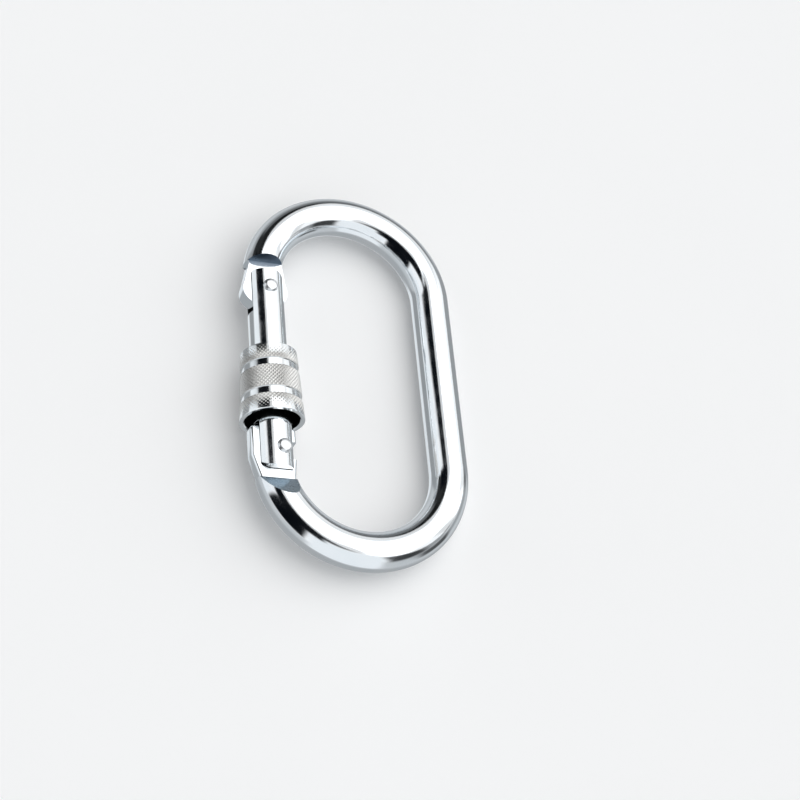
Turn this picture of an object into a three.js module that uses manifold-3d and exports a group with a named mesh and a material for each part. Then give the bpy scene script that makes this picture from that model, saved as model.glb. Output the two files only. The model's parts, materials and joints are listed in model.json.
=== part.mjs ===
import * as THREE from 'three';
import { mergeVertices } from 'three/addons/utils/BufferGeometryUtils.js';
import Module from 'manifold-3d';

const wasm = await Module();
wasm.setup();

// An oval screw-lock carabiner lying on its flat side, in millimetres.
// X runs across the oval with the gate on the low side, Y runs along it towards
// the hinge, and Z is the normal of the oval.

// Sizes of the bent bar.
const overallLength = 108;
const overallWidth = 57.5;
const barDiameter = 10;

// Sizes of the two flattened ends of the bar.
const plateThickness = 4;
const hingeShoulderAboveBend = 4.75;
const hingeRampRun = 0.85;
const noseShoulderBelowBend = 6.65;
const noseRampRun = 5.2;
const tangOuterReach = 6.6;
const tangInnerReach = 5.5;
const nosePlateInnerReach = 5.4;
const nosePlateBeyondPin = 7.1;
const noseCornerRadius = 2.8;
const notchMouthRise = 0.7;

// Sizes of the gate.
const gateDiameter = 9.6;
const gateLineInset = 0.85;
const latchPinInset = 1.2;
const hingePinToShoulder = 8.6;
const latchPinToShoulder = 7.5;
const gateBeyondHingePin = 5.2;
const gateBeyondLatchPin = 5.1;
const gateSwingCornerRadius = 3.6;
const gatePlainCornerRadius = 0.7;
const gateThreadDepth = 0.45;
const threadPitch = 1.5;

// Sizes of the two pins.
const pinDiameter = 3.4;
const pinDomeHeight = 0.95;

// Sizes of the locking sleeve, named from its mouth towards the hinge.
const mouthBoreDiameter = 14;
const mouthWall = 1.3;
const sleeveTaper = 1;
const mouthBandLength = 4.5;
const middleBandLength = 6.2;
const hingeBandLength = 4.3;
const bandGrooveLength = 2;
const bandGrooveDepth = 0.5;
const sleeveThreadLength = 4.5;
const sleeveThreadDepth = 0.4;
const sleeveEdgeChamfer = 0.4;
const sleeveAboveNosePlate = 1.5;

// Sizes of the closing spring and its plunger.
const camBaseRadius = 4.9;
const camLift = 1.2;
const gateOpeningDegrees = 30;
const springBoreDiameter = 3.8;
const springBoreDepth = 13;
const springWire = 0.5;
const springTurns = 6;
const plungerHeadLength = 1.6;
const plungerNoseLength = 1.6;
const plungerNoseDiameter = 1.1;
const plungerStemDiameter = 1.4;
const plungerStemLength = 4;

// Clearances between pieces.
const touchGap = 0.3;
const slotSideGap = 0.3;
const slotEndGap = 0.6;
const pinHoleGap = 0.3;
const notchGap = 0.45;
const sleeveOverNoseGap = 0.25;
const boreGap = 0.35;
const camGap = 0.45;

// How finely round pieces are divided.
const barSides = 32;
const bendSteps = 25;
const gateSides = 32;
const sleeveSides = 40;
const pinSides = 20;
const domeSteps = 4;
const cornerSteps = 5;
const coilSteps = 14;
const wireSides = 6;
const camStepDegrees = 7.5;

// Places worked out from the sizes.
const barRadius = barDiameter / 2;
const bendRadius = (overallWidth - barDiameter) / 2;
const straightHalf = (overallLength - overallWidth) / 2;
const plateHalf = plateThickness / 2;
const hingeShoulderY = straightHalf + hingeShoulderAboveBend;
const noseShoulderY = -straightHalf - noseShoulderBelowBend;
const gateX = -bendRadius + gateLineInset;
const latchPinX = gateX + latchPinInset;
const gateRadius = gateDiameter / 2;
const hingePinY = hingeShoulderY - hingePinToShoulder;
const latchPinY = noseShoulderY + latchPinToShoulder;
const gateTopY = hingePinY + gateBeyondHingePin;
const gateBottomY = latchPinY - gateBeyondLatchPin;
const hingeSlotEndY = hingePinY - camBaseRadius - camLift - slotEndGap;
const nosePlateTopY = latchPinY + nosePlateBeyondPin;
const noseSlotEndY = nosePlateTopY + slotEndGap;
const slotHalf = plateHalf + slotSideGap;
const pinRadius = pinDiameter / 2;
const pinHoleRadius = pinRadius + pinHoleGap;
const notchRadius = pinRadius + notchGap;
const mouthBoreRadius = mouthBoreDiameter / 2;
const mouthRadius = mouthBoreRadius + mouthWall;
const hingeEndRadius = mouthRadius - sleeveTaper;
const sleeveLength = mouthBandLength + middleBandLength + hingeBandLength + 2 * bandGrooveLength;
const sleeveMouthY = nosePlateTopY + sleeveAboveNosePlate;
const sleeveTopY = sleeveMouthY + sleeveLength;
const nosePlateOuterReach = Math.sqrt((mouthBoreRadius - sleeveOverNoseGap) ** 2 - plateHalf ** 2);
const springBoreRadius = springBoreDiameter / 2;
const springBoreEndY = hingeSlotEndY - springBoreDepth;
const plungerTipY = hingePinY - camBaseRadius - camGap;
const plungerShoulderY = plungerTipY - plungerNoseLength - plungerHeadLength;
const sleeveOuterX = gateX - mouthRadius;
const originShift = -(sleeveOuterX + overallWidth / 2) / 2;
const throughHeight = 2 * (barRadius + mouthRadius);

// Helpers that turn drawn geometry into solids and meshes.

function solid(geometry) {
  geometry.deleteAttribute('normal');
  geometry.deleteAttribute('uv');
  const merged = mergeVertices(geometry, 1e-4);
  const mesh = new wasm.Mesh({
    numProp: 3,
    vertProperties: new Float32Array(merged.attributes.position.array),
    triVerts: new Uint32Array(merged.index.array),
  });
  mesh.merge();
  return new wasm.Manifold(mesh);
}

function plate(shape, bottom, top, segments = cornerSteps) {
  const geometry = new THREE.ExtrudeGeometry(shape, {
    depth: top - bottom,
    bevelEnabled: false,
    curveSegments: segments,
  });
  geometry.translate(0, 0, bottom);
  return solid(geometry);
}

function polygon(points) {
  return new THREE.Shape(points.map(([x, y]) => new THREE.Vector2(x, y)));
}

function turned(profile, sides) {
  const points = profile.map(([radius, along]) => new THREE.Vector2(radius, along));
  return new THREE.LatheGeometry(points, sides);
}

function box(low, high) {
  const geometry = new THREE.BoxGeometry(high[0] - low[0], high[1] - low[1], high[2] - low[2]);
  geometry.translate((low[0] + high[0]) / 2, (low[1] + high[1]) / 2, (low[2] + high[2]) / 2);
  return solid(geometry);
}

function uprightCylinder(radius, x, y) {
  const geometry = new THREE.CylinderGeometry(radius, radius, throughHeight, pinSides);
  geometry.rotateX(Math.PI / 2);
  geometry.translate(x, y, 0);
  return solid(geometry);
}

const group = new THREE.Group();
group.name = 'carabiner';

function addPiece(name, piece, material) {
  const mesh = piece.getMesh();
  const geometry = new THREE.BufferGeometry();
  geometry.setAttribute('position', new THREE.BufferAttribute(new Float32Array(mesh.vertProperties), 3));
  geometry.setIndex(new THREE.BufferAttribute(new Uint32Array(mesh.triVerts), 1));
  geometry.translate(originShift, 0, 0);
  geometry.computeVertexNormals();
  const node = new THREE.Mesh(geometry, material);
  node.name = name;
  group.add(node);
}

function metal(color, roughness) {
  return new THREE.MeshStandardMaterial({ color, roughness, metalness: 1 });
}

// The bent bar. Its path runs from the hinge end over the far bend, along the
// spine and round to the nose end, with stations only where the bar bends.

class StationPath extends THREE.Curve {
  constructor(stations) {
    super();
    this.stations = stations;
  }

  stationAt(share) {
    return this.stations[Math.round(share * (this.stations.length - 1))];
  }

  getPointAt(share, target = new THREE.Vector3()) {
    return target.copy(this.stationAt(share).point);
  }

  getTangentAt(share, target = new THREE.Vector3()) {
    return target.copy(this.stationAt(share).tangent);
  }
}

function bendStations(centreY, startAngle) {
  const stations = [];
  for (let step = 0; step <= bendSteps; step += 1) {
    const angle = startAngle - (Math.PI * step) / bendSteps;
    stations.push({
      point: new THREE.Vector3(bendRadius * Math.cos(angle), centreY + bendRadius * Math.sin(angle), 0),
      tangent: new THREE.Vector3(Math.sin(angle), -Math.cos(angle), 0),
    });
  }
  return stations;
}

function roundSection(radius, sides) {
  const points = [];
  for (let side = 0; side < sides; side += 1) {
    const angle = (2 * Math.PI * (side + 0.5)) / sides;
    points.push([radius * Math.cos(angle), radius * Math.sin(angle)]);
  }
  return polygon(points);
}

function sweptAlong(path, section, steps) {
  return solid(new THREE.ExtrudeGeometry(section, { steps, extrudePath: path }));
}

const barStations = [...bendStations(straightHalf, Math.PI), ...bendStations(-straightHalf, 0)];
// The flats of the section lie across the bar, so each face of it touches the full diameter.
const barSection = roundSection(barRadius / Math.cos(Math.PI / barSides), barSides);
const roundBar = sweptAlong(new StationPath(barStations), barSection, barStations.length - 1);

// A cutter that mills one side of an end down to the plate and runs out up a ramp.
function millingCut(shoulderY, rampRun, endY, side) {
  const cutTop = barRadius + 1;
  const rampRise = barRadius - plateHalf;
  const runAtTop = (rampRun * (cutTop - plateHalf)) / rampRise;
  const outward = Math.sign(shoulderY);
  const outline = polygon([
    [endY, plateHalf],
    [shoulderY, plateHalf],
    [shoulderY + outward * runAtTop, cutTop],
    [endY, cutTop],
  ]);
  const width = 2 * barDiameter;
  const geometry = new THREE.ExtrudeGeometry(outline, { depth: width, bevelEnabled: false });
  geometry.translate(0, 0, -width / 2);
  const turn = new THREE.Matrix4().set(0, 0, 1, 0, 1, 0, 0, 0, 0, 1, 0, 0, 0, 0, 0, 1);
  geometry.applyMatrix4(turn);
  if (side < 0) {
    geometry.rotateY(Math.PI);
  }
  geometry.translate(-bendRadius, 0, 0);
  return solid(geometry);
}

// A point on the bar at a shoulder, held just inside the milled face.
function shoulderPoint(shoulderY, across) {
  const bendCentreY = Math.sign(shoulderY) * straightHalf;
  const rise = shoulderY - bendCentreY;
  const radius = bendRadius + across;
  return [-Math.sqrt(radius ** 2 - rise ** 2), shoulderY];
}

const millHalfWidth = Math.sqrt(barRadius ** 2 - plateHalf ** 2) - touchGap / 2;

function camRadius(degrees) {
  const peak = camBaseRadius + camLift;
  const seatDegrees = 12;
  const blendDegrees = 38;
  if (degrees < -seatDegrees) {
    const share = Math.min(1, (-seatDegrees - degrees) / blendDegrees);
    return THREE.MathUtils.lerp(camBaseRadius, tangOuterReach, THREE.MathUtils.smoothstep(share, 0, 1));
  }
  if (degrees < 0) {
    return camBaseRadius;
  }
  if (degrees < gateOpeningDegrees + camStepDegrees) {
    return Math.min(peak, camBaseRadius + (camLift * degrees) / gateOpeningDegrees);
  }
  const share = Math.min(1, (degrees - gateOpeningDegrees - camStepDegrees) / blendDegrees);
  return THREE.MathUtils.lerp(peak, tangInnerReach, THREE.MathUtils.smoothstep(share, 0, 1));
}

// The tang: a flat end with a cam edge that faces the plunger.
function tangOutline() {
  const points = [shoulderPoint(hingeShoulderY, millHalfWidth)];
  points.push([-bendRadius - barRadius, straightHalf]);
  const sideDegrees = 97.5;
  for (let degrees = -sideDegrees; degrees <= sideDegrees; degrees += camStepDegrees) {
    const angle = THREE.MathUtils.degToRad(degrees);
    const radius = camRadius(degrees);
    points.push([gateX + radius * Math.sin(angle), hingePinY - radius * Math.cos(angle)]);
  }
  points.push(shoulderPoint(hingeShoulderY, -millHalfWidth));
  return polygon(points);
}

// The nose plate: the flat end that the gate closes over.
function nosePlateOutline() {
  const outerX = gateX - nosePlateOuterReach;
  const innerX = gateX + nosePlateInnerReach;
  const flankEndY = latchPinY - pinDiameter / 2;
  const shape = new THREE.Shape();
  const [outerShoulderX, outerShoulderY] = shoulderPoint(noseShoulderY, millHalfWidth);
  const [innerShoulderX, innerShoulderY] = shoulderPoint(noseShoulderY, -millHalfWidth);
  const cornerY = nosePlateTopY - noseCornerRadius;
  shape.moveTo(outerShoulderX, outerShoulderY);
  shape.lineTo(innerShoulderX, innerShoulderY);
  shape.lineTo(innerX, flankEndY);
  shape.lineTo(innerX, cornerY);
  shape.absarc(innerX - noseCornerRadius, cornerY, noseCornerRadius, 0, Math.PI / 2, false);
  shape.absarc(outerX + noseCornerRadius, cornerY, noseCornerRadius, Math.PI / 2, Math.PI, false);
  shape.lineTo(outerX, flankEndY);
  return shape;
}

// The notch that the latch pin swings into from the inside of the oval.
function notchOutline() {
  const mouth = nosePlateInnerReach + barDiameter;
  const riseAtMouth = (notchMouthRise * mouth) / nosePlateInnerReach;
  const shape = new THREE.Shape();
  shape.moveTo(latchPinX + mouth, latchPinY - notchRadius);
  shape.lineTo(latchPinX + mouth, latchPinY + notchRadius + riseAtMouth);
  shape.absarc(latchPinX, latchPinY, notchRadius, Math.PI / 2, (3 * Math.PI) / 2, false);
  return shape;
}

const milledBar = roundBar
  .subtract(millingCut(hingeShoulderY, hingeRampRun, hingePinY, 1))
  .subtract(millingCut(hingeShoulderY, hingeRampRun, hingePinY, -1))
  .subtract(millingCut(noseShoulderY, noseRampRun, latchPinY, 1))
  .subtract(millingCut(noseShoulderY, noseRampRun, latchPinY, -1));

const frameBar = milledBar
  .add(plate(tangOutline(), -plateHalf, plateHalf))
  .add(plate(nosePlateOutline(), -plateHalf, plateHalf))
  .subtract(plate(notchOutline(), -throughHeight / 2, throughHeight / 2, 2 * cornerSteps))
  .subtract(uprightCylinder(pinHoleRadius, gateX, hingePinY));

addPiece('frame_bar', frameBar, metal(0xd4d9dd, 0.16));

// The gate: a turned rod, slotted over the tang and the nose plate.

function zigzagThread(fromY, toY, crestRadius, rootRadius) {
  const turns = Math.floor((toY - fromY) / threadPitch);
  const points = [];
  for (let turn = 0; turn < turns; turn += 1) {
    const turnY = fromY + turn * threadPitch;
    points.push([crestRadius, turnY]);
    points.push([rootRadius, turnY + threadPitch / 2]);
  }
  points.push([crestRadius, fromY + turns * threadPitch]);
  return points;
}

const threadStartY = sleeveMouthY + threadPitch;
const threadEndY = sleeveTopY - threadPitch;
const gateProfile = [
  [0, gateBottomY],
  [gateRadius, gateBottomY],
  ...zigzagThread(threadStartY, threadEndY, gateRadius, gateRadius - gateThreadDepth),
  [gateRadius, gateTopY],
  [0, gateTopY],
];
const gateRodGeometry = turned(gateProfile, gateSides);
gateRodGeometry.translate(gateX, 0, 0);

// The outline of the gate seen from above: each end has one corner rounded far
// enough to swing past its shoulder.
function gateOutline() {
  const left = gateX - gateRadius - touchGap;
  const right = gateX + gateRadius + touchGap;
  const swing = gateSwingCornerRadius;
  const plain = gatePlainCornerRadius;
  const shape = new THREE.Shape();
  shape.moveTo(left, gateBottomY + swing);
  shape.absarc(left + swing, gateBottomY + swing, swing, Math.PI, 1.5 * Math.PI, false);
  shape.absarc(right - plain, gateBottomY + plain, plain, 1.5 * Math.PI, 2 * Math.PI, false);
  shape.absarc(right - swing, gateTopY - swing, swing, 0, 0.5 * Math.PI, false);
  shape.absarc(left + plain, gateTopY - plain, plain, 0.5 * Math.PI, Math.PI, false);
  return shape;
}

function gateSlot(endY, openY) {
  const lowY = Math.min(endY, openY);
  const highY = Math.max(endY, openY);
  return box(
    [gateX - gateDiameter, lowY, -slotHalf],
    [gateX + gateDiameter, highY, slotHalf],
  );
}

const springBoreGeometry = turned([
  [0, springBoreEndY],
  [springBoreRadius, springBoreEndY],
  [springBoreRadius, hingeSlotEndY + touchGap],
  [0, hingeSlotEndY + touchGap],
], pinSides);
springBoreGeometry.translate(gateX, 0, 0);

const gate = solid(gateRodGeometry)
  .intersect(plate(gateOutline(), -gateDiameter, gateDiameter))
  .subtract(gateSlot(hingeSlotEndY, gateTopY + touchGap))
  .subtract(gateSlot(noseSlotEndY, gateBottomY - touchGap))
  .subtract(uprightCylinder(pinHoleRadius, gateX, hingePinY))
  .subtract(uprightCylinder(pinHoleRadius, latchPinX, latchPinY))
  .subtract(solid(springBoreGeometry));

addPiece('gate', gate, metal(0xd6dadd, 0.14));

// The two pins across the gate, each with a low dome at both ends.
function domedPin(x, y) {
  const shankTop = gateRadius;
  const domeSphere = (pinRadius ** 2 + pinDomeHeight ** 2) / (2 * pinDomeHeight);
  const topHalf = [];
  for (let step = 0; step <= domeSteps; step += 1) {
    const radius = pinRadius * Math.cos((Math.PI * step) / (2 * domeSteps));
    const drop = domeSphere - Math.sqrt(Math.max(0, domeSphere ** 2 - radius ** 2));
    topHalf.push([step === domeSteps ? 0 : radius, shankTop + pinDomeHeight - drop]);
  }
  const bottomHalf = topHalf.map(([radius, along]) => [radius, -along]).reverse();
  const geometry = turned([...bottomHalf, ...topHalf], pinSides);
  geometry.rotateX(Math.PI / 2);
  geometry.translate(x, y, 0);
  return solid(geometry);
}

addPiece('hinge_rivet', domedPin(gateX, hingePinY), metal(0xcfd3d6, 0.25));
addPiece('latch_pin', domedPin(latchPinX, latchPinY), metal(0xcfd3d6, 0.25));

// The locking sleeve: three gripping bands, a wide mouth and a short thread.

function sleeveOuterRadius(y) {
  return THREE.MathUtils.mapLinear(y, sleeveMouthY, sleeveTopY, mouthRadius, hingeEndRadius);
}

function bandPoints(fromY, toY) {
  return [
    [sleeveOuterRadius(fromY) - bandGrooveDepth, fromY],
    [sleeveOuterRadius(fromY), fromY],
    [sleeveOuterRadius(toY), toY],
    [sleeveOuterRadius(toY) - bandGrooveDepth, toY],
  ];
}

const mouthBandEndY = sleeveMouthY + mouthBandLength;
const middleBandStartY = mouthBandEndY + bandGrooveLength;
const middleBandEndY = middleBandStartY + middleBandLength;
const hingeBandStartY = middleBandEndY + bandGrooveLength;
const sleeveThreadCrest = gateRadius + touchGap;
const sleeveThreadRoot = sleeveThreadCrest + sleeveThreadDepth;
const sleeveThreadStartY = sleeveTopY - sleeveEdgeChamfer - sleeveThreadLength;
const sleeveThreadPoints = zigzagThread(
  sleeveThreadStartY,
  sleeveTopY - sleeveEdgeChamfer,
  sleeveThreadCrest,
  sleeveThreadRoot,
).reverse();

const sleeveProfile = [
  [mouthBoreRadius + sleeveEdgeChamfer / 2, sleeveMouthY],
  [mouthRadius - sleeveEdgeChamfer, sleeveMouthY],
  [mouthRadius, sleeveMouthY + sleeveEdgeChamfer],
  ...bandPoints(sleeveMouthY, mouthBandEndY).slice(2),
  ...bandPoints(middleBandStartY, middleBandEndY),
  ...bandPoints(hingeBandStartY, sleeveTopY).slice(0, 2),
  [sleeveOuterRadius(sleeveTopY - sleeveEdgeChamfer), sleeveTopY - sleeveEdgeChamfer],
  [hingeEndRadius - sleeveEdgeChamfer, sleeveTopY],
  [sleeveThreadRoot, sleeveTopY],
  ...sleeveThreadPoints,
  [mouthBoreRadius, sleeveThreadStartY],
  [mouthBoreRadius, sleeveMouthY + sleeveEdgeChamfer / 2],
  [mouthBoreRadius + sleeveEdgeChamfer / 2, sleeveMouthY],
];
const sleeveGeometry = turned(sleeveProfile, sleeveSides);
sleeveGeometry.translate(gateX, 0, 0);
addPiece('locking_sleeve', solid(sleeveGeometry), metal(0xc9c8c2, 0.38));

// The plunger slides in the gate and leans on the cam edge of the tang.
const plungerHeadRadius = springBoreRadius - boreGap;
const plungerStemRadius = plungerStemDiameter / 2;
const plungerGeometry = turned([
  [0, plungerShoulderY - plungerStemLength],
  [plungerStemRadius, plungerShoulderY - plungerStemLength],
  [plungerStemRadius, plungerShoulderY],
  [plungerHeadRadius, plungerShoulderY],
  [plungerHeadRadius, plungerShoulderY + plungerHeadLength],
  [plungerNoseDiameter / 2, plungerTipY - touchGap],
  [plungerNoseDiameter / 4, plungerTipY],
  [0, plungerTipY],
], pinSides);
plungerGeometry.translate(gateX, 0, 0);
addPiece('spring_plunger', solid(plungerGeometry), metal(0xb9bcc0, 0.3));

// The closing spring stands between the floor of its bore and the plunger.
class CoilPath extends THREE.Curve {
  getPoint(share, target = new THREE.Vector3()) {
    const wireRadius = springWire / 2;
    const coilRadius = springBoreRadius - boreGap - wireRadius;
    const lowY = springBoreEndY + touchGap + wireRadius;
    const highY = plungerShoulderY - touchGap - wireRadius;
    const angle = 2 * Math.PI * springTurns * share;
    return target.set(
      gateX + coilRadius * Math.cos(angle),
      THREE.MathUtils.lerp(lowY, highY, share),
      coilRadius * Math.sin(angle),
    );
  }
}

const closingSpring = sweptAlong(
  new CoilPath(),
  roundSection(springWire / 2, wireSides),
  springTurns * coilSteps,
);
addPiece('gate_spring', closingSpring, metal(0xa9adb1, 0.32));

export default group;
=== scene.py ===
import json
import math

import bmesh
import bpy
from mathutils import Matrix, Vector


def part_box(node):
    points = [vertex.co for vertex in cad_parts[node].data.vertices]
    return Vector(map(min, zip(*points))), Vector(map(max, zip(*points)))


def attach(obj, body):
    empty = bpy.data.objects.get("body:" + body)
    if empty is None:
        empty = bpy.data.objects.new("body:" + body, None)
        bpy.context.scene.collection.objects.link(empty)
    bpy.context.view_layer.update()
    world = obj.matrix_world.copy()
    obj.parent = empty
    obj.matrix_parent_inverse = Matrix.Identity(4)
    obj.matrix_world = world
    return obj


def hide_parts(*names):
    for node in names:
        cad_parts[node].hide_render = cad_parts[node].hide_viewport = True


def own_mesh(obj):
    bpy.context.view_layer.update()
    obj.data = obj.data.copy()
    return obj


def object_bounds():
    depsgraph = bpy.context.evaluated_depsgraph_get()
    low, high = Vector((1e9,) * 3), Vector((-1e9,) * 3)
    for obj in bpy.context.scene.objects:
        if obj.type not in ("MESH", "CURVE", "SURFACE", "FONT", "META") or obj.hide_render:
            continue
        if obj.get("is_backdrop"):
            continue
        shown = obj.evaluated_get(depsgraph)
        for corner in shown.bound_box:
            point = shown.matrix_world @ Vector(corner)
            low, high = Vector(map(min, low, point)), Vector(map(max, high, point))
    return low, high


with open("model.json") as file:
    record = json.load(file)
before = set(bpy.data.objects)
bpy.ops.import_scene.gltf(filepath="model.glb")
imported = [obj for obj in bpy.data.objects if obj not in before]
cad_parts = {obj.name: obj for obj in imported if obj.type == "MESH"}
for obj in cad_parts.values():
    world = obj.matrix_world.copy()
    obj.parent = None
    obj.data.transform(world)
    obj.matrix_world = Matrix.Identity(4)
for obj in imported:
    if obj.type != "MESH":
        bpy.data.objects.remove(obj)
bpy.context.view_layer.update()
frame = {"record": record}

# An oval screw-lock carabiner in bright plated steel. Metres throughout; X runs from the gate
# across to the spine, Y towards the hinge, and Z is the normal of the oval.

mm = 0.001

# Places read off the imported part.
_, bar_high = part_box("frame_bar")
gate_low, gate_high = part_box("gate")
rivet_low, rivet_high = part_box("hinge_rivet")
latch_low, latch_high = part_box("latch_pin")
sleeve_low, sleeve_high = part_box("locking_sleeve")
spring_low, spring_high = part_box("gate_spring")
plunger_low, plunger_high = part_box("spring_plunger")

bar_r = bar_high.z
spine_x = bar_high.x - bar_r
oval_x = frame["record"]["mounts"][0]["pos_m"][0]
bend_r = spine_x - oval_x
bend_y = bar_high.y - bar_r - bend_r
gate_x = (gate_low.x + gate_high.x) / 2
gate_r = gate_high.z
hinge = (rivet_low + rivet_high) / 2
latch = (latch_low + latch_high) / 2
sleeve_mouth_y = sleeve_low.y
sleeve_top_y = sleeve_high.y
mouth_r = sleeve_high.z

# Sizes of the flattened ends, the holes and the thread.
plate_half = 2.0 * mm
hinge_shoulder_y = hinge.y + 8.6 * mm
hinge_ramp_run = 0.85 * mm
tang_r = 5.5 * mm
nose_shoulder_y = latch.y - 7.5 * mm
nose_ramp_run = 5.2 * mm
nose_top_y = latch.y + 7.1 * mm
slot_half = plate_half + 0.3 * mm
rivet_hole_r = 1.75 * mm
notch_r = 2.15 * mm
pin_shank_r = 1.7 * mm
thread_pitch = 1.5 * mm

# Two places count as the same within this.
near = 0.01 * mm

along_y = Vector((0, 1, 0))
along_z = Vector((0, 0, 1))
along_x = Vector((1, 0, 0))


# ---- camera ----

camera_from = Vector((-0.3392, -0.4772, 0.8107)).normalized()
camera_top = Vector((-0.1057, 0.8757, 0.4712))
camera_distance = 0.4264
camera_lens = 74.5
camera_shift = (0.0577, -0.0297)


def place_camera():
    """Looks down on the gate's side from the nose end, with the hinge end at the top."""
    right = camera_top.cross(camera_from).normalized()
    up = camera_from.cross(right)
    view = bpy.data.cameras.new("camera")
    view.lens = camera_lens
    view.sensor_width = 36
    view.clip_start = 0.01
    view.shift_x, view.shift_y = camera_shift
    camera = bpy.data.objects.new("camera", view)
    bpy.context.scene.collection.objects.link(camera)
    aim = Vector((oval_x, 0, 0))
    turn = Matrix((right, up, camera_from)).transposed().to_4x4()
    camera.matrix_world = Matrix.Translation(aim + camera_from * camera_distance) @ turn
    bpy.context.scene.camera = camera


place_camera()


# ---- bench work: the moves used on every piece ----

def clear_bench():
    """Leaves edit mode with nothing selected."""
    if bpy.context.object and bpy.context.object.mode != "OBJECT":
        bpy.ops.object.mode_set(mode="OBJECT")
    bpy.ops.object.select_all(action="DESELECT")


def start(name):
    """Names the new primitive and opens it for shaping."""
    piece = bpy.context.object
    piece.name = name
    piece.data.name = name
    bpy.ops.object.mode_set(mode="EDIT")
    return piece


def pick(kind, test):
    """Selects the faces, edges or verts whose place and direction pass the test."""
    bpy.ops.mesh.select_mode(type=kind)
    bpy.ops.mesh.select_all(action="DESELECT")
    piece = bpy.context.object
    mesh = bmesh.from_edit_mesh(piece.data)
    world = piece.matrix_world
    turn = world.to_3x3()
    if kind == "FACE":
        for face in mesh.faces:
            if test(world @ face.calc_center_median(), (turn @ face.normal).normalized()):
                face.select_set(True)
    elif kind == "EDGE":
        for edge in mesh.edges:
            a, b = (world @ v.co for v in edge.verts)
            if test((a + b) / 2, (b - a).normalized()):
                edge.select_set(True)
    else:
        for vert in mesh.verts:
            if test(world @ vert.co, None):
                vert.select_set(True)
    mesh.select_flush_mode()
    bmesh.update_edit_mesh(piece.data)


def move(x=0.0, y=0.0):
    bpy.ops.transform.translate(value=(x, y, 0))


def extrude(way=(0, 0, 0)):
    bpy.ops.mesh.extrude_region_move(TRANSFORM_OT_translate={"value": way})


def stretch(x, y, z, about):
    bpy.ops.transform.resize(value=(x, y, z), center_override=tuple(about))


def close_up():
    """Merges doubles, turns the faces outwards and puts the piece's origin at the frame's."""
    bpy.ops.object.mode_set(mode="EDIT")
    bpy.ops.mesh.select_mode(type="VERT")
    bpy.ops.mesh.select_all(action="SELECT")
    bpy.ops.mesh.remove_doubles(threshold=0.001 * mm)
    bpy.ops.mesh.normals_make_consistent(inside=False)
    bpy.ops.object.mode_set(mode="OBJECT")
    bpy.ops.object.transform_apply(location=True, rotation=True, scale=True)
    return bpy.context.object


def hold(piece):
    """Puts one piece on the bench, selected and active."""
    clear_bench()
    bpy.context.view_layer.objects.active = piece
    piece.select_set(True)


def cut(piece, tool, how="DIFFERENCE"):
    """Cuts the tool out of the piece, or keeps only what is inside it, and clears the tool away."""
    hold(piece)
    step = piece.modifiers.new("cut", "BOOLEAN")
    step.operation = how
    step.solver = "EXACT"
    step.object = tool
    bpy.ops.object.modifier_apply(modifier=step.name)
    bpy.data.objects.remove(tool)


def ease_edges(piece, width, angle, steps):
    """Rounds every edge sharper than the angle."""
    hold(piece)
    step = piece.modifiers.new("edges", "BEVEL")
    step.width = width
    step.segments = steps
    step.limit_method = "ANGLE"
    step.angle_limit = math.radians(angle)
    step.use_clamp_overlap = True
    bpy.ops.object.modifier_apply(modifier=step.name)


def polish(piece, angle=30):
    """Shades the piece smooth, apart from edges sharper than the angle."""
    hold(piece)
    bpy.ops.object.shade_smooth_by_angle(angle=math.radians(angle))
    piece.select_set(False)


def keep_faces_true(piece):
    """Lets the large faces lead the shading, so that the eased edges do not bend it."""
    hold(piece)
    step = piece.modifiers.new("shading", "WEIGHTED_NORMAL")
    step.keep_sharp = True
    bpy.ops.object.modifier_apply(modifier=step.name)
    piece.select_set(False)


def block(name, low, high):
    """A block between two corners, left in edit mode."""
    clear_bench()
    low, high = Vector(low), Vector(high)
    bpy.ops.mesh.primitive_cube_add(size=1, location=(low + high) / 2, scale=high - low)
    return start(name)


def pin_tool(radius, at):
    """A cutter for a cross hole, longer than anything it goes through, left in edit mode."""
    clear_bench()
    bpy.ops.mesh.primitive_cylinder_add(vertices=48, radius=radius, depth=12 * mm, location=at)
    return start("tool")


def turned(name, line, centre, axis, outward, steps):
    """Draws a line of (radius, distance along the axis) points and spins it round the axis."""
    clear_bench()
    points = [centre + outward * radius + axis * along for radius, along in line]
    bpy.ops.mesh.primitive_plane_add(size=mm, location=points[0])
    start(name)
    bpy.ops.mesh.select_mode(type="VERT")
    bpy.ops.mesh.merge(type="CENTER")
    for here, there in zip(points, points[1:]):
        bpy.ops.mesh.extrude_vertices_move(TRANSFORM_OT_translate={"value": there - here})
    bpy.ops.mesh.select_all(action="SELECT")
    bpy.ops.mesh.spin(steps=steps, angle=2 * math.pi, center=centre, axis=axis)
    return close_up()


# ---- the bent bar and its two flattened ends ----

def bend_bar():
    clear_bench()
    bpy.ops.mesh.primitive_circle_add(
        vertices=80, radius=bar_r, fill_type="NGON",
        location=(oval_x - bend_r, bend_y, 0), rotation=(math.pi / 2, 0, 0))
    start("bent_bar")
    bpy.ops.mesh.select_all(action="SELECT")
    bpy.ops.mesh.spin(steps=64, angle=math.pi, center=(oval_x, bend_y, 0), axis=(0, 0, 1))
    extrude((0, -2 * bend_y, 0))
    bpy.ops.mesh.spin(steps=64, angle=math.pi, center=(oval_x, -bend_y, 0), axis=(0, 0, 1))
    bar = close_up()
    mill_end(bar, hinge_shoulder_y, hinge_ramp_run, hinge.y)
    mill_end(bar, nose_shoulder_y, nose_ramp_run, latch.y)
    polish(bar, 22)
    return bar


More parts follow.
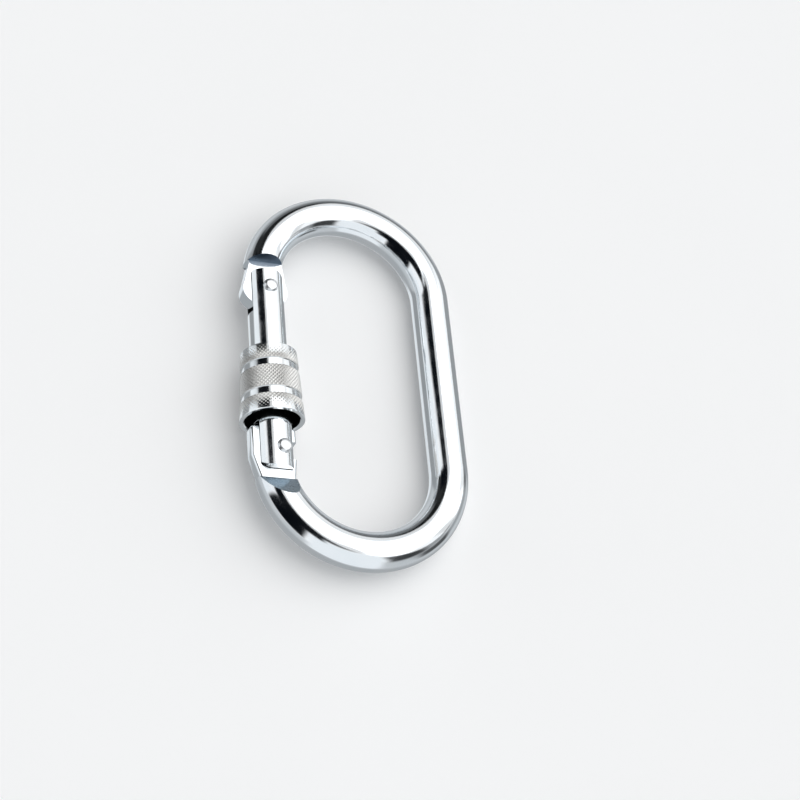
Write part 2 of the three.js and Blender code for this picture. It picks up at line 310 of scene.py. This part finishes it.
def mill_end(bar, shoulder_y, run, open_y):
    """Takes the end of the bar off at the shoulder, with a ramp up to full round on both sides."""
    top = bar_r + 1.2 * mm
    half_width = 9 * mm
    run_at_top = run * (top - plate_half) / (bar_r - plate_half)
    outward = 1 if shoulder_y > 0 else -1
    centre_x = oval_x - bend_r
    tool = block("tool", (centre_x - half_width, min(open_y, shoulder_y), -top),
                 (centre_x + half_width, max(open_y, shoulder_y), top))
    for side in (-1, 1):
        bpy.ops.mesh.select_all(action="SELECT")
        bpy.ops.mesh.bisect(plane_co=(0, 0, side * plate_half), plane_no=(0, 0, 1))
    pick("VERT", lambda at, _: abs(at.y - shoulder_y) < near and abs(at.z) > top - near)
    move(y=outward * run_at_top)
    close_up()
    cut(bar, tool)


def forge_hinge_tang():
    """The rounded flat end that the gate's cheeks straddle, running up into the bar's shoulder."""
    clear_bench()
    bpy.ops.mesh.primitive_cylinder_add(
        vertices=64, radius=tang_r, depth=2 * plate_half, location=hinge)
    tang = start("hinge_tang")
    neck_y = hinge_shoulder_y + 1.0 * mm
    neck_x = oval_x - math.sqrt(bend_r ** 2 - (neck_y - bend_y) ** 2)
    pick("FACE", lambda at, way: way.y > 0.35 and abs(way.z) < 0.5)
    extrude()
    stretch(0.83, 0, 1, (neck_x, neck_y, 0))
    pick("VERT", lambda at, _: at.x < hinge.x - near and at.y < hinge.y + 3.2 * mm)
    stretch(1.19, 1, 1, hinge)
    pick("VERT", lambda at, _: at.y < hinge.y - near)
    stretch(1, 0.89, 1, hinge)
    close_up()
    hole = pin_tool(rivet_hole_r, hinge)
    close_up()
    cut(tang, hole)
    ease_edges(tang, 1.15 * mm, 50, 6)
    polish(tang)
    return tang


def forge_nose_plate():
    """The flat nose with its notch for the latch pin, narrowing into the ramp."""
    low_x = gate_x - 6.447 * mm
    high_x = gate_x + 5.4 * mm
    flank_y = latch.y - 1.7 * mm
    deep_y = nose_shoulder_y - 2 * mm
    outer_taper = 2.55 * mm
    inner_taper = 0.75 * mm
    corner_round = 1.9 * mm
    plate = block("nose_plate", (low_x, deep_y, -plate_half), (high_x, nose_top_y, plate_half))
    bpy.ops.mesh.select_all(action="SELECT")
    bpy.ops.mesh.bisect(plane_co=(0, flank_y, 0), plane_no=(0, 1, 0))
    pick("VERT", lambda at, _: at.y < flank_y - 0.1 * mm and at.x < gate_x)
    move(x=outer_taper)
    pick("VERT", lambda at, _: at.y < flank_y - 0.1 * mm and at.x > gate_x)
    move(x=-inner_taper)
    pick("EDGE", lambda at, way: abs(way.z) > 0.9 and at.y > nose_top_y - near)
    bpy.ops.mesh.bevel(offset=corner_round, segments=8, affect="EDGES")
    close_up()
    ease_edges(plate, 0.9 * mm, 50, 6)
    notch = pin_tool(notch_r, latch)
    pick("FACE", lambda at, way: way.x > 0.05 and abs(way.z) < 0.5)
    extrude()
    stretch(0, 1.28, 1, (latch.x + 10 * mm, latch.y - 2.1 * mm, 0))
    close_up()
    cut(plate, notch)
    polish(plate)
    return plate


# ---- the gate, its thread, pins, spring and plunger ----

thread_low_y = sleeve_mouth_y + 4.5 * mm
thread_high_y = thread_low_y + 13.5 * mm


def turn_gate():
    """The turned rod, rounded to its outline, slotted at both ends and bored for the spring."""
    centre = Vector((gate_x, 0, 0))
    core = gate_r - 0.5 * mm
    line = [
        (0, gate_low.y), (gate_r, gate_low.y), (gate_r, thread_low_y - 0.8 * mm),
        (core, thread_low_y - 0.3 * mm), (core, thread_high_y + 0.3 * mm),
        (gate_r, thread_high_y + 0.8 * mm), (gate_r, gate_high.y), (0, gate_high.y),
    ]
    gate = turned("gate_rod", line, centre, along_y, along_x, 96)
    outline = block("tool", (gate_x - gate_r - 0.3 * mm, gate_low.y, -8 * mm),
                    (gate_x + gate_r + 0.3 * mm, gate_high.y, 8 * mm))
    full_round = 3.6 * mm
    small_round = 0.7 * mm
    corners = ((True, True, full_round), (False, False, full_round),
               (True, False, small_round), (False, True, small_round))
    for left, low, size in corners:
        pick("EDGE", lambda at, way: abs(way.z) > 0.9 and (at.x < gate_x) == left
             and (at.y < 0) == low and (abs(at.x - gate_x) > gate_r)
             and (abs(at.y - gate_low.y) < near or abs(at.y - gate_high.y) < near))
        bpy.ops.mesh.bevel(offset=size, segments=12, affect="EDGES")
    close_up()
    cut(gate, outline, "INTERSECT")
    hinge_slot_y = hinge.y - 6.7 * mm
    nose_slot_y = nose_top_y + 0.6 * mm
    for end_y, open_y in ((hinge_slot_y, gate_high.y + mm), (nose_slot_y, gate_low.y - mm)):
        slot = block("tool", (gate_x - 8 * mm, min(end_y, open_y), -slot_half),
                     (gate_x + 8 * mm, max(end_y, open_y), slot_half))
        close_up()
        cut(gate, slot)
    clear_bench()
    spring_bore_r = 1.9 * mm
    bore_end_y = spring_low.y - 0.3 * mm
    depth = hinge.y - 6.0 * mm - bore_end_y
    bpy.ops.mesh.primitive_cylinder_add(
        vertices=32, radius=spring_bore_r, depth=depth,
        location=(gate_x, bore_end_y + depth / 2, 0), rotation=(math.pi / 2, 0, 0))
    bore = start("tool")
    close_up()
    cut(gate, bore)
    hold(gate)
    bpy.ops.object.mode_set(mode="EDIT")
    bpy.ops.mesh.select_all(action="SELECT")
    bpy.ops.mesh.remove_doubles(threshold=0.02 * mm)
    bpy.ops.mesh.dissolve_limited(angle_limit=math.radians(0.5))
    close_up()
    ease_edges(gate, 0.25 * mm, 40, 3)
    close_up()
    polish(gate)
    keep_faces_true(gate)
    return gate


def cut_gate_thread():
    """A helical ridge that stands on the gate's relieved middle."""
    clear_bench()
    ridge = 0.62 * mm
    here = (gate_x + gate_r - 0.55 * mm, thread_low_y + 0.35 * mm, 0)
    bpy.ops.mesh.primitive_circle_add(
        vertices=3, radius=ridge, fill_type="NOTHING", location=here)
    thread = start("gate_thread")
    bpy.ops.mesh.select_all(action="SELECT")
    bpy.ops.transform.rotate(value=math.pi / 2, orient_axis="Z", center_override=here)
    close_up()
    bpy.context.scene.cursor.location = (gate_x, 0, 0)
    bpy.ops.object.origin_set(type="ORIGIN_CURSOR")
    step = thread.modifiers.new("wind", "SCREW")
    step.axis = "Y"
    step.steps = 48
    step.render_steps = 48
    step.iterations = 8
    step.screw_offset = thread_pitch
    step.use_merge_vertices = False
    step.use_normal_calculate = True
    bpy.ops.object.modifier_apply(modifier=step.name)
    bpy.ops.object.mode_set(mode="EDIT")
    bpy.ops.mesh.select_all(action="SELECT")
    bpy.ops.mesh.fill_holes(sides=3)
    close_up()
    polish(thread, 40)
    return thread


def turn_pin(name, at):
    """A hardened pin, peened over at both ends into a low dome."""
    top = rivet_high.z
    # Radius and depth below the top, in millimetres.
    dome = ((0, 0), (0.6, 0.02), (1.1, 0.1), (1.45, 0.24), (1.72, 0.46), (1.86, 0.74),
            (1.9, 1.1), (1.9, 1.6))
    half = [(radius * mm, top - down * mm) for radius, down in dome]
    half.append((pin_shank_r, top - 1.8 * mm))
    line = [(radius, -along) for radius, along in half]
    line += [(radius, along) for radius, along in half[::-1]]
    pin = turned(name, line, at, along_z, along_x, 48)
    polish(pin, 50)
    return pin


def turn_plunger():
    """A stem inside the spring, a collar that sits on it and a short nib on top."""
    centre = Vector((gate_x, 0, 0))
    tip = plunger_high.y
    foot = plunger_low.y
    chamfer = 0.1 * mm
    stem, collar, nib = 0.7 * mm, 1.55 * mm, 0.55 * mm
    under, over = tip - 3.2 * mm, tip - 1.6 * mm
    line = [(0, foot), (stem - chamfer, foot), (stem, foot + chamfer), (stem, under),
            (collar - chamfer, under), (collar, under + chamfer), (collar, over - chamfer),
            (collar - chamfer, over), (nib, over),
            (nib, tip - 0.4 * mm), (nib - 0.2 * mm, tip - chamfer), (0, tip)]
    plunger = turned("plunger", line, centre, along_y, along_x, 32)
    polish(plunger)
    return plunger


def wind_spring():
    clear_bench()
    wire = 0.25 * mm
    mean_r = spring_high.z - wire
    turns = 6
    rise = spring_high.y - spring_low.y - 2 * wire
    bpy.ops.mesh.primitive_circle_add(
        vertices=10, radius=wire, fill_type="NOTHING",
        location=(gate_x + mean_r, spring_low.y + wire, 0))
    spring = start("closing_spring")
    close_up()
    bpy.context.scene.cursor.location = (gate_x, 0, 0)
    bpy.ops.object.origin_set(type="ORIGIN_CURSOR")
    step = spring.modifiers.new("wind", "SCREW")
    step.axis = "Y"
    step.steps = 28
    step.render_steps = 28
    step.iterations = turns
    step.screw_offset = rise / turns
    step.use_merge_vertices = False
    bpy.ops.object.modifier_apply(modifier=step.name)
    bpy.ops.object.mode_set(mode="EDIT")
    bpy.ops.mesh.select_all(action="SELECT")
    bpy.ops.mesh.fill_holes(sides=10)
    close_up()
    polish(spring, 50)
    return spring


# ---- the locking sleeve ----

sleeve_length = sleeve_top_y - sleeve_mouth_y
hinge_end_r = mouth_r - 1.0 * mm
bore_r = 7.0 * mm

# Where each knurled band starts and ends, in millimetres from the mouth.
bands = ((0.35, 4.5), (6.5, 12.7), (14.7, 18.65))


def envelope(along):
    """The sleeve's outer radius at a distance from its mouth."""
    return mouth_r + (hinge_end_r - mouth_r) * along / sleeve_length


def turn_sleeve():
    """The bored and threaded body, with a bright groove between each two knurled bands."""
    centre = Vector((gate_x, sleeve_mouth_y, 0))
    lip_r = bore_r + 0.25 * mm
    crest_r = 5.1 * mm
    line = [(lip_r, 0), (envelope(0) - 0.28 * mm, 0)]
    line += [(envelope(0.12 * mm) - 0.08 * mm, 0.14 * mm),
             (envelope(0.3 * mm) - 0.06 * mm, 0.36 * mm)]
    for before, after in zip(bands, bands[1:]):
        low, high = before[1] * mm, after[0] * mm
        line += [(envelope(low) - 0.36 * mm, low), (envelope(low) - 0.5 * mm, low + 0.12 * mm),
                 (envelope(high) - 0.5 * mm, high - 0.12 * mm), (envelope(high) - 0.36 * mm, high)]
    end = sleeve_length
    line += [(envelope(end) - 0.06 * mm, end - 0.36 * mm),
             (envelope(end) - 0.08 * mm, end - 0.2 * mm), (envelope(end) - 0.3 * mm, end),
             (5.45 * mm, end), (crest_r + 0.05 * mm, end - 0.3 * mm)]
    thread_y = end - 0.4 * mm
    for turn in range(3):
        line.append((crest_r, thread_y - turn * thread_pitch))
        line.append((5.5 * mm, thread_y - (turn + 0.5) * thread_pitch))
    line += [(crest_r, thread_y - 3 * thread_pitch), (6.7 * mm, thread_y - 4.7 * mm),
             (bore_r, thread_y - 5.0 * mm), (bore_r, 0.8 * mm), (bore_r, 0.25 * mm), (lip_r, 0)]
    sleeve = turned("sleeve_body", line, centre, along_y, along_x, 112)
    polish(sleeve, 25)
    return sleeve


def knurl_band(name, low, high):
    """A grid turned on its corners, then each of its diamonds raised to a point."""
    clear_bench()
    low, high = low * mm, high * mm
    peak = 0.27 * mm
    row_width = 1.04 * mm
    low_r, high_r = envelope(low) - peak, envelope(high) - peak
    bpy.ops.mesh.primitive_cone_add(
        vertices=50, radius1=low_r, radius2=high_r, depth=high - low,
        end_fill_type="NOTHING", location=(gate_x, sleeve_mouth_y + (low + high) / 2, 0),
        rotation=(-math.pi / 2, 0, 0))
    band = start(name)
    rows = round((high - low) / row_width)
    pick("EDGE", lambda at, way: abs(way.y) > 0.9)
    bpy.ops.mesh.subdivide(number_cuts=rows - 1)
    mesh = bmesh.from_edit_mesh(band.data)
    corners = len(mesh.verts)
    bpy.ops.mesh.select_mode(type="FACE")
    bpy.ops.mesh.select_all(action="SELECT")
    bpy.ops.mesh.poke(offset=0)
    bpy.ops.mesh.select_mode(type="EDGE")
    bpy.ops.mesh.select_all(action="DESELECT")
    mesh = bmesh.from_edit_mesh(band.data)
    mesh.verts.ensure_lookup_table()
    for edge in mesh.edges:
        if len(edge.link_faces) == 2 and all(vert.index < corners for vert in edge.verts):
            edge.select_set(True)
    bmesh.update_edit_mesh(band.data)
    bpy.ops.mesh.dissolve_edges(use_verts=False)
    bpy.ops.mesh.select_mode(type="FACE")
    bpy.ops.mesh.select_all(action="SELECT")
    bpy.ops.mesh.poke(offset=peak)
    for end_y in (sleeve_mouth_y + low, sleeve_mouth_y + high):
        pick("EDGE", lambda at, way: abs(at.y - end_y) < 0.02 * mm and abs(way.y) < 0.01
             and math.hypot(at.x - gate_x, at.z) < mouth_r)
        bpy.ops.mesh.extrude_edges_move(TRANSFORM_OT_translate={"value": (0, 0, 0)})
        stretch(0.93, 1, 0.93, (gate_x, end_y, 0))
    inner = 0.945
    pick("EDGE", lambda at, way: math.hypot(at.x - gate_x, at.z) < inner * high_r
         or (math.hypot(at.x - gate_x, at.z) < inner * low_r
             and abs(at.y - sleeve_mouth_y - low) < 0.02 * mm))
    bpy.ops.mesh.bridge_edge_loops()
    close_up()
    return band


# ---- finishes ----

def new_finish(name):
    finish = bpy.data.materials.new(name)
    finish.use_nodes = True
    tree = finish.node_tree
    tree.nodes.clear()
    out = tree.nodes.new("ShaderNodeOutputMaterial")
    shader = tree.nodes.new("ShaderNodeBsdfPrincipled")
    tree.links.new(shader.outputs["BSDF"], out.inputs["Surface"])
    return finish, tree, shader


def pattern(tree, scale, detail, stretch_by=(1, 1, 1)):
    """Noise fixed to the piece; a small stretch along an axis draws it out into lines."""
    place = tree.nodes.new("ShaderNodeTexCoord")
    mapping = tree.nodes.new("ShaderNodeMapping")
    mapping.inputs["Scale"].default_value = stretch_by
    noise = tree.nodes.new("ShaderNodeTexNoise")
    noise.inputs["Scale"].default_value = scale
    noise.inputs["Detail"].default_value = detail
    tree.links.new(place.outputs["Object"], mapping.inputs["Vector"])
    tree.links.new(mapping.outputs["Vector"], noise.inputs["Vector"])
    return noise.outputs["Fac"]


def between(tree, source, low, high):
    """Spreads the middle of a pattern's range over low to high."""
    span = tree.nodes.new("ShaderNodeMapRange")
    span.inputs["From Min"].default_value = 0.3
    span.inputs["From Max"].default_value = 0.7
    span.inputs["To Min"].default_value = low
    span.inputs["To Max"].default_value = high
    tree.links.new(source, span.inputs["Value"])
    return span.outputs["Result"]


def tinted(tree, source, one, other):
    mix = tree.nodes.new("ShaderNodeMix")
    mix.data_type = "RGBA"
    mix.inputs["A"].default_value = (*one, 1)
    mix.inputs["B"].default_value = (*other, 1)
    tree.links.new(source, mix.inputs["Factor"])
    return mix.outputs["Result"]


def bumped(tree, source, strength, depth, below=None):
    bump = tree.nodes.new("ShaderNodeBump")
    bump.inputs["Strength"].default_value = strength
    bump.inputs["Distance"].default_value = depth
    tree.links.new(source, bump.inputs["Height"])
    if below:
        tree.links.new(below, bump.inputs["Normal"])
    return bump.outputs["Normal"]


def metal_finish(name, light, dull, rough, grain, grain_depth=0.02):
    """Bright plating over polished steel: slow cloudy tint, smudged gloss, fine polishing lines.
    The bore, ramp and nose finishes made with it carry painted shade and painted reflection in
    their colours.
    """
    finish, tree, shader = new_finish(name)
    shader.inputs["Metallic"].default_value = 1
    cloud = between(tree, pattern(tree, 90, 4), 0, 1)
    tree.links.new(tinted(tree, cloud, light, dull), shader.inputs["Base Color"])
    smudge = between(tree, pattern(tree, 260, 5), rough[0], rough[1])
    tree.links.new(smudge, shader.inputs["Roughness"])
    waver = bumped(tree, pattern(tree, 70, 1), 0.12, 0.25 * mm)
    lines = bumped(tree, pattern(tree, 900, 2, grain), grain_depth, 0.1 * mm, waver)
    tree.links.new(lines, shader.inputs["Normal"])
    return finish


# How the polishing lines run.
even_grain = (1, 1, 1)
turned_grain = (0.1, 1, 1)
drawn_grain = (1, 0.12, 1)
pin_grain = (1, 1, 0.2)

bar_finish = metal_finish(
    "bar_plating", (0.92, 0.94, 0.96), (0.84, 0.88, 0.91), (0.07, 0.15), drawn_grain)
gate_finish = metal_finish(
    "gate_plating", (0.93, 0.95, 0.96), (0.85, 0.88, 0.9), (0.08, 0.16), turned_grain)
knurl_finish = metal_finish(
    "knurl_plating", (0.86, 0.855, 0.84), (0.74, 0.73, 0.71), (0.38, 0.52), even_grain)
pin_finish = metal_finish(
    "pin_plating", (0.9, 0.91, 0.92), (0.8, 0.82, 0.84), (0.22, 0.34), pin_grain)
# Painted reflection: near-black blue steel paints the dark reflection on the hinge shoulder's
# ramps.
painted_ramp_reflection = metal_finish(
    "milled_ramp", (0.12, 0.16, 0.21), (0.08, 0.11, 0.15), (0.22, 0.34), turned_grain, 0.05)
# Milled bare steel on the nose ramps, duller than the plating; its blue-grey cast is a painted
# reflection.
milled_and_painted_reflection = metal_finish(
    "milled_nose", (0.5, 0.58, 0.64), (0.36, 0.43, 0.49), (0.2, 0.32), turned_grain, 0.05)
# Painted shade: a near-black colour for the shadowed inside of the sleeve's bore and the gaps at
# the gate's slotted ends.
painted_shade_finish = metal_finish(
    "dark_bore", (0.035, 0.035, 0.035), (0.015, 0.015, 0.015), (0.4, 0.55), even_grain)
spring_finish = metal_finish(
    "spring_wire", (0.62, 0.62, 0.6), (0.5, 0.5, 0.48), (0.25, 0.4), even_grain)


def fit(piece, body, slot, finish, *stands_for):
    """Gives the piece its finish and its body, and hides the part's nodes that it stands for."""
    piece.data.materials.clear()
    piece.data.materials.append(finish)
    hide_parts(*stands_for)
    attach(piece, body)


def further_finish(piece, finish, test):
    """Gives the faces that pass the test a further finish."""
    piece.data.materials.append(finish)
    for face in piece.data.polygons:
        if test(face.center, face.normal):
            face.material_index = len(piece.data.materials) - 1


bar = bend_bar()
fit(bar, "frame", "bar_steel", bar_finish, "frame_bar")
# The hinge shoulder's ramp faces carry the painted dark reflection.
further_finish(bar, painted_ramp_reflection, lambda at, way: way.y < -0.94 and abs(abs(way.z) - 0.272) < 0.02
               and abs(at.y - hinge_shoulder_y) < 1.5 * mm and abs(way.x) < 0.01)
# The nose ramps get the milled steel with its painted blue-grey reflection.
further_finish(bar, milled_and_painted_reflection, lambda at, way: abs(way.y - 0.5) < 0.01
               and abs(abs(way.z) - 0.866) < 0.01
               and nose_shoulder_y - 6 * mm < at.y < nose_shoulder_y)
fit(forge_hinge_tang(), "frame", "bar_steel", bar_finish, "frame_bar")
fit(forge_nose_plate(), "frame", "bar_steel", bar_finish, "frame_bar")
gate = turn_gate()
fit(gate, "gate", "gate_steel", gate_finish, "gate")
# Painted shade on the gate's slot faces at both ends, where shade falls in the gaps beside the flat
# ends.
further_finish(gate, painted_shade_finish, lambda at, way: abs(at.z) < slot_half + 0.42 * mm
               and way.z * at.z < -0.2 * abs(at.z)
               and (at.y > hinge.y - 8 * mm or at.y < nose_top_y + 2 * mm))
fit(cut_gate_thread(), "gate", "gate_steel", gate_finish, "gate")
fit(turn_pin("hinge_rivet_peened", hinge), "gate", "pin_steel", pin_finish, "hinge_rivet")
fit(turn_pin("latch_pin_peened", latch), "gate", "pin_steel", pin_finish, "latch_pin")
fit(turn_plunger(), "plunger", "pin_steel", pin_finish, "spring_plunger")
sleeve = turn_sleeve()
fit(sleeve, "sleeve", "sleeve_steel", gate_finish, "locking_sleeve")
# Painted shade on the faces inside the sleeve's bore and thread, where the bore lies in shadow.
further_finish(sleeve, painted_shade_finish, lambda at, way: (way.x * (at.x - gate_x) + way.z * at.z < 0
               or abs(way.y) > 0.9) and math.hypot(at.x - gate_x, at.z) < bore_r + 0.05 * mm
               and sleeve_mouth_y + 0.8 * mm < at.y < sleeve_top_y - 0.5 * mm)
for count, (low, high) in enumerate(bands):
    fit(knurl_band("knurl_band_%d" % (count + 1), low, high),
        "sleeve", "sleeve_steel", knurl_finish, "locking_sleeve")
closing_spring = wind_spring()
fit(closing_spring, "gate", "spring_steel", spring_finish, "gate_spring")
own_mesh(closing_spring)


# ---- studio ----

pale = (0.93, 0.93, 0.93)


def lay_floor():
    """A pale board that touches the sleeve's underside and the spine's."""
    across = spine_x - gate_x
    lean = math.asin((mouth_r - bar_r) / across)
    clear_bench()
    bpy.ops.mesh.primitive_plane_add(size=6)
    board = bpy.context.object
    board.name = "board"
    foot = Vector((spine_x, 0, 0)) + Vector((math.sin(lean), 0, -math.cos(lean))) * bar_r
    board.rotation_euler = (0, -lean, 0)
    board.location = foot
    finish, tree, shader = new_finish("pale_board")
    paper = between(tree, pattern(tree, 12, 2), 0, 1)
    shades = tinted(tree, paper, pale, (0.92, 0.92, 0.92))
    tree.links.new(shades, shader.inputs["Base Color"])
    shader.inputs["Roughness"].default_value = 0.9
    shader.inputs["Emission Color"].default_value = (*pale, 1)
    shader.inputs["Emission Strength"].default_value = 0.1
    board.data.materials.append(finish)
    board.visible_glossy = False
    board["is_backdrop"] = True


lay_floor()


def hang_cards():
    """A white tent with soft-edged grey and black cards, behind a plain pale backdrop.

    The camera sees the backdrop, and everything else sees the cards.
    """
    world = bpy.data.worlds.new("white_tent")
    bpy.context.scene.world = world
    world.use_nodes = True
    tree = world.node_tree
    tree.nodes.clear()
    out = tree.nodes.new("ShaderNodeOutputWorld")
    light = tree.nodes.new("ShaderNodeBackground")
    place = tree.nodes.new("ShaderNodeTexCoord")
    split = tree.nodes.new("ShaderNodeSeparateXYZ")
    tree.links.new(place.outputs["Generated"], split.inputs["Vector"])

    def sum_of(kind, a, b=None):
        node = tree.nodes.new("ShaderNodeMath")
        node.operation = kind
        for slot_in, value in enumerate((a, b)):
            if value is None:
                continue
            if isinstance(value, (int, float)):
                node.inputs[slot_in].default_value = value
            else:
                tree.links.new(value, node.inputs[slot_in])
        return node.outputs[0]

    degrees = 180 / math.pi
    around = sum_of("ARCTAN2", split.outputs["X"], split.outputs["Y"])
    bearing = sum_of("MULTIPLY", around, degrees)
    height = sum_of("MULTIPLY", sum_of("ARCSINE", split.outputs["Z"]), degrees)

    def rise(source, at, soft):
        """Goes softly from 0 to 1 as the source passes the place."""
        span = tree.nodes.new("ShaderNodeMapRange")
        span.interpolation_type = "SMOOTHSTEP"
        span.inputs["From Min"].default_value = at - soft / 2
        span.inputs["From Max"].default_value = at + soft / 2
        tree.links.new(source, span.inputs["Value"])
        return span.outputs["Result"]

    def card(base, colour, from_bearing, to_bearing, from_height, to_height, soft):
        """Lays a card over the base. A bearing of None leaves that side open."""
        mask = None
        edges = ((bearing, from_bearing, 1), (bearing, to_bearing, -1),
                 (height, from_height, 1), (height, to_height, -1))
        for source, at, way in edges:
            if at is None:
                continue
            edge = rise(source, at, soft)
            if way < 0:
                edge = sum_of("SUBTRACT", 1, edge)
            mask = edge if mask is None else sum_of("MULTIPLY", mask, edge)
        mix = tree.nodes.new("ShaderNodeMix")
        mix.data_type = "RGBA"
        tree.links.new(mask, mix.inputs["Factor"])
        if isinstance(base, tuple):
            mix.inputs["A"].default_value = (*base, 1)
        else:
            tree.links.new(base, mix.inputs["A"])
        mix.inputs["B"].default_value = (*colour, 1)
        return mix.outputs["Result"]

    def shade(level):
        return (level * 0.95, level * 0.99, level * 1.02)

    white = (1.0, 1.01, 1.02)
    black = (0.002, 0.003, 0.005)
    # Colour, bearings from and to (from +Y towards +X), heights from and to, and softness,
    # all in degrees.
    cards = (
        (shade(0.6), None, None, -95, -10, 14),
        (shade(0.42), None, None, -95, -36, 24),
        (shade(0.85), -50, 60, -66, -46, 12),
        (shade(0.92), 150, None, -34, 46, 12),
        (shade(0.92), None, -147, -34, 46, 12),
        (shade(0.38), -64, 150, -12, 10, 12),
        (shade(0.58), 128, 150, -24, 4, 10),
        (shade(0.33), -66, -38, -46, 6, 8),
        (shade(0.15), -34, 50, 3, 43, 12),
        (shade(0.01), -62, 14, 17, 45, 8),
        (shade(0.025), -57, -22, 3, 32, 10),
        (shade(0.17), 62, 73, -6, 36, 5),
        (shade(0.09), 98, 122, -19, 3, 8),
        (shade(0.06), 86, 101, 14, 42, 8),
        (shade(0.34), 100, 118, 8, 40, 6),
        (shade(0.05), 116, 147, 7, 36, 8),
        (shade(0.07), None, -148, 50, 72, 9),
        (shade(0.09), 152, None, 50, 70, 9),
        (black, -160, -62, 38, 75, 8),
        (black, -142, -99, -9, 50, 6),
        (white, -97, -57, 10, 36, 5),
        (shade(0.95), -97, -54, -14, 18, 5),
        (shade(0.34), 46, 67, -34, 30, 6),
        (black, -57.5, -36, 19, 46, 4),
        (black, -54, -21, 40, 66, 4),
    )
    tent = white
    for colour, *place_and_softness in cards:
        tent = card(tent, colour, *place_and_softness)

    path = tree.nodes.new("ShaderNodeLightPath")
    seen = tree.nodes.new("ShaderNodeMix")
    seen.data_type = "RGBA"
    seen.inputs["B"].default_value = (*pale, 1)
    tree.links.new(path.outputs["Is Camera Ray"], seen.inputs["Factor"])
    tree.links.new(tent, seen.inputs["A"])
    tree.links.new(seen.outputs["Result"], light.inputs["Color"])
    light.inputs["Strength"].default_value = 1.0
    tree.links.new(light.outputs["Background"], out.inputs["Surface"])


hang_cards()


def hang_lamp():
    lamp = bpy.data.lights.new("soft_lamp", "SUN")
    lamp.energy = 1.3
    lamp.angle = math.radians(100)
    holder = bpy.data.objects.new("soft_lamp", lamp)
    bpy.context.scene.collection.objects.link(holder)
    holder.rotation_euler = (math.radians(-12), math.radians(25), 0)


hang_lamp()
bpy.context.scene.view_settings.view_transform = "Standard"

low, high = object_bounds()
